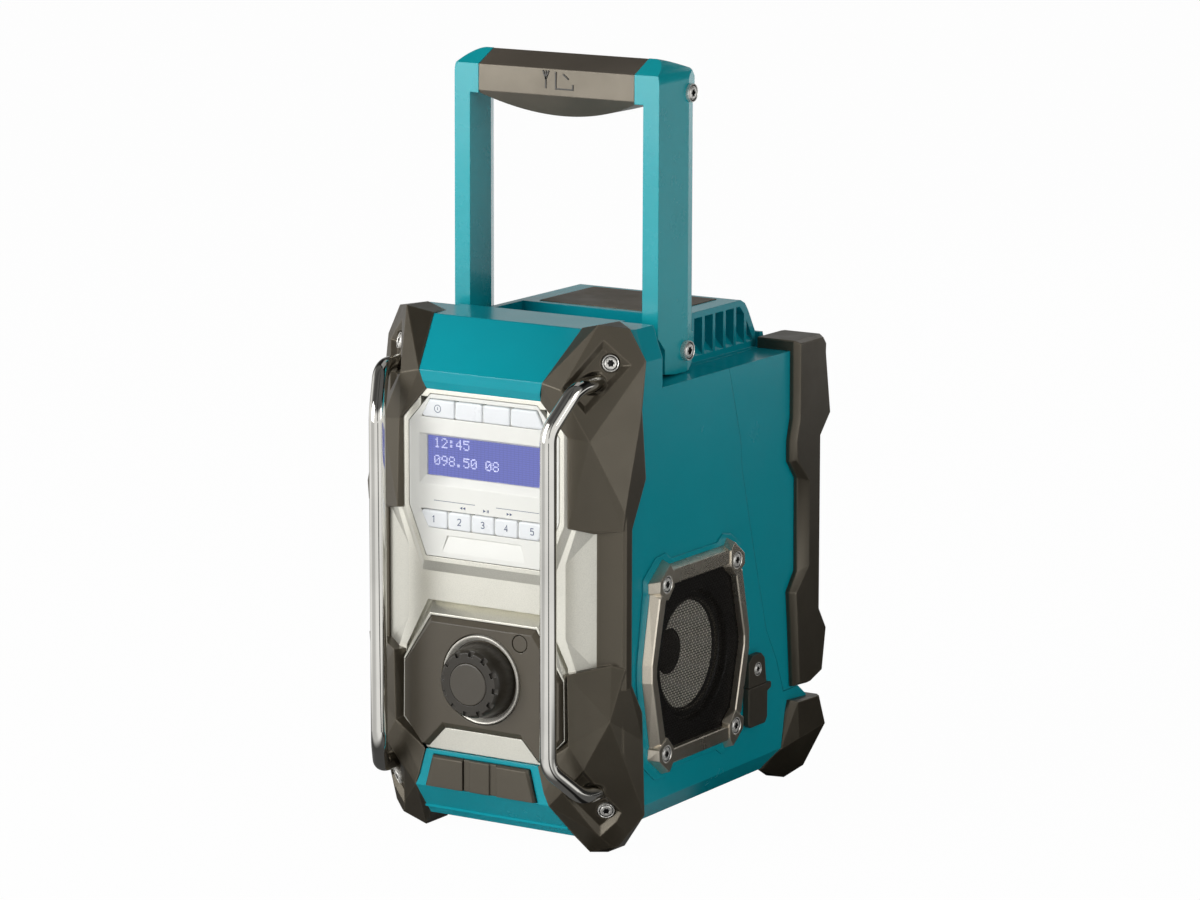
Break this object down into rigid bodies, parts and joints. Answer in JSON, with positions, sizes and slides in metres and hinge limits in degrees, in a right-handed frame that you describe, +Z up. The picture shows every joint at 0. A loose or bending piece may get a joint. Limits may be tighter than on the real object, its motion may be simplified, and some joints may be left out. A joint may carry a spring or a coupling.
{
  "type": "jobsite radio",
  "caption": "Rugged jobsite radio with a folding carrying handle, rubber corner bumpers, front guard bars, side speakers and a hinged rear battery door.",
  "frame": {"origin": "on the floor under the middle of the radio's box, with the handle upright", "axes": "+Z up, -Y towards the front with the controls, +X to the right seen from the front"},
  "size_m": [0.1688, 0.2534, 0.4212],
  "materials": {
    "teal_plastic": "glossy moulded plastic",
    "bumper_rubber": "satin rubber",
    "cap_rubber": "matte rubber",
    "silver_plastic": "satin silver paint",
    "panel_plastic": "satin",
    "window_clear": "clear",
    "display_blue": "lit display",
    "dark_plastic": "satin",
    "bar_chrome": "polished",
    "screw_steel": "satin",
    "frame_metallic": "metallic paint",
    "grille_black": "satin black",
    "cone_paper": "woven",
    "magnet_iron": "dark",
    "board_green": "solder mask"
  },
  "bodies": {
    "case": {"main_housing": "teal_plastic", "front_case": "teal_plastic", "front_bezel": "silver_plastic", "display_panel": "panel_plastic", "display_window": "window_clear", "lcd_module": "display_blue", "knob_plate": "dark_plastic", "knob_ring": "silver_plastic", "encoder": "screw_steel", "guard_bar_left": "bar_chrome", "guard_bar_right": "bar_chrome", "front_bumper_left": "bumper_rubber", "front_bumper_right": "bumper_rubber", "bumper_screws": "screw_steel", "cap_strap": "cap_rubber", "front_sockets": "screw_steel", "dc_cap_anchor": "cap_rubber", "dc_cap_screw": "screw_steel", "dc_jack": "grille_black", "speaker_frame_left": "frame_metallic", "speaker_frame_right": "frame_metallic", "speaker_grille_left": "grille_black", "speaker_grille_right": "grille_black", "speaker_baskets": "screw_steel", "speaker_cones": "cone_paper", "speaker_magnets": "magnet_iron", "speaker_screws": "screw_steel", "pivot_screws": "screw_steel", "top_mat": "bumper_rubber", "rear_foot_left": "bumper_rubber", "rear_foot_right": "bumper_rubber", "circuit_boards": "board_green", "battery_terminal": "grille_black", "door_seal": "cap_rubber", "hinge_pin": "screw_steel"},
    "handle": {"handle_arm_left": "teal_plastic", "handle_arm_right": "teal_plastic", "handle_grip": "dark_plastic", "aerial_rod": "screw_steel", "handle_screws": "screw_steel"},
    "door": {"battery_door": "teal_plastic", "rear_bumper_left": "bumper_rubber", "rear_bumper_right": "bumper_rubber"},
    "latch": {"door_latch": "dark_plastic"},
    "dial": {"dial_shaft": "screw_steel"},
    "knob": {"tuning_knob": "dark_plastic", "knob_cap": "dark_plastic"},
    "usb_cover": {"usb_cap": "cap_rubber"},
    "aux_cover": {"aux_cap": "cap_rubber"},
    "dc_cover": {"dc_cap": "cap_rubber"},
    "key_power_body": {"key_power": "panel_plastic"},
    "key_menu_body": {"key_menu": "panel_plastic"},
    "key_select_body": {"key_select": "panel_plastic"},
    "key_info_body": {"key_info": "panel_plastic"},
    "preset_key_1_body": {"preset_key_1": "panel_plastic"},
    "preset_key_2_body": {"preset_key_2": "panel_plastic"},
    "preset_key_3_body": {"preset_key_3": "panel_plastic"},
    "preset_key_4_body": {"preset_key_4": "panel_plastic"},
    "preset_key_5_body": {"preset_key_5": "panel_plastic"},
    "mode_button_body": {"mode_button": "dark_plastic"}
  },
  "joints": [
    {"name": "handle_fold", "type": "hinge", "parent": "case", "child": "handle", "pos_m": [0, -0.0025, 0.2633], "axis": [-1, 0, 0], "range_deg": [0, 86.5]},
    {"name": "door_hinge", "type": "hinge", "parent": "case", "child": "door", "pos_m": [0, 0.112, 0.057], "axis": [-1, 0, 0], "range_deg": [0, 85]},
    {"name": "latch_hinge", "type": "hinge", "parent": "door", "child": "latch", "pos_m": [0, 0.109, 0.2075], "axis": [-1, 0, 0], "range_deg": [0, 25], "stiffness_Nm_per_rad": 0.05},
    {"name": "dial_push", "type": "slide", "parent": "case", "child": "dial", "axis": [0, 1, 0], "range_m": [0, 0.0008], "stiffness_N_per_m": 3000},
    {"name": "knob_turn", "type": "hinge", "parent": "dial", "child": "knob", "pos_m": [0, -0.11, 0.0932], "axis": [0, -1, 0], "continuous": true},
    {"name": "usb_cap_hinge", "type": "hinge", "parent": "case", "child": "usb_cover", "pos_m": [-0.01075, -0.1066, 0.039], "axis": [0, 0, 1], "range_deg": [0, 95], "stiffness_Nm_per_rad": 0.005},
    {"name": "aux_cap_hinge", "type": "hinge", "parent": "case", "child": "aux_cover", "pos_m": [0.01075, -0.1066, 0.039], "axis": [0, 0, -1], "range_deg": [0, 95], "stiffness_Nm_per_rad": 0.005},
    {"name": "dc_cap_hinge", "type": "hinge", "parent": "case", "child": "dc_cover", "pos_m": [0.082, 0.05, 0.06905], "axis": [0, -1, 0], "range_deg": [0, 95]},
    {"name": "key_power_press", "type": "slide", "parent": "case", "child": "key_power_body", "axis": [0, 1, 0], "range_m": [0, 0.0008], "stiffness_N_per_m": 1500},
    {"name": "key_menu_press", "type": "slide", "parent": "case", "child": "key_menu_body", "axis": [0, 1, 0], "range_m": [0, 0.0008], "stiffness_N_per_m": 1500},
    {"name": "key_select_press", "type": "slide", "parent": "case", "child": "key_select_body", "axis": [0, 1, 0], "range_m": [0, 0.0008], "stiffness_N_per_m": 1500},
    {"name": "key_info_press", "type": "slide", "parent": "case", "child": "key_info_body", "axis": [0, 1, 0], "range_m": [0, 0.0008], "stiffness_N_per_m": 1500},
    {"name": "preset_key_1_press", "type": "slide", "parent": "case", "child": "preset_key_1_body", "axis": [0, 1, 0], "range_m": [0, 0.0008], "stiffness_N_per_m": 1500},
    {"name": "preset_key_2_press", "type": "slide", "parent": "case", "child": "preset_key_2_body", "axis": [0, 1, 0], "range_m": [0, 0.0008], "stiffness_N_per_m": 1500},
    {"name": "preset_key_3_press", "type": "slide", "parent": "case", "child": "preset_key_3_body", "axis": [0, 1, 0], "range_m": [0, 0.0008], "stiffness_N_per_m": 1500},
    {"name": "preset_key_4_press", "type": "slide", "parent": "case", "child": "preset_key_4_body", "axis": [0, 1, 0], "range_m": [0, 0.0008], "stiffness_N_per_m": 1500},
    {"name": "preset_key_5_press", "type": "slide", "parent": "case", "child": "preset_key_5_body", "axis": [0, 1, 0], "range_m": [0, 0.0008], "stiffness_N_per_m": 1500},
    {"name": "mode_button_press", "type": "slide", "parent": "case", "child": "mode_button_body", "axis": [0, 1, 0], "range_m": [0, 0.0008], "stiffness_N_per_m": 1500}
  ]
}
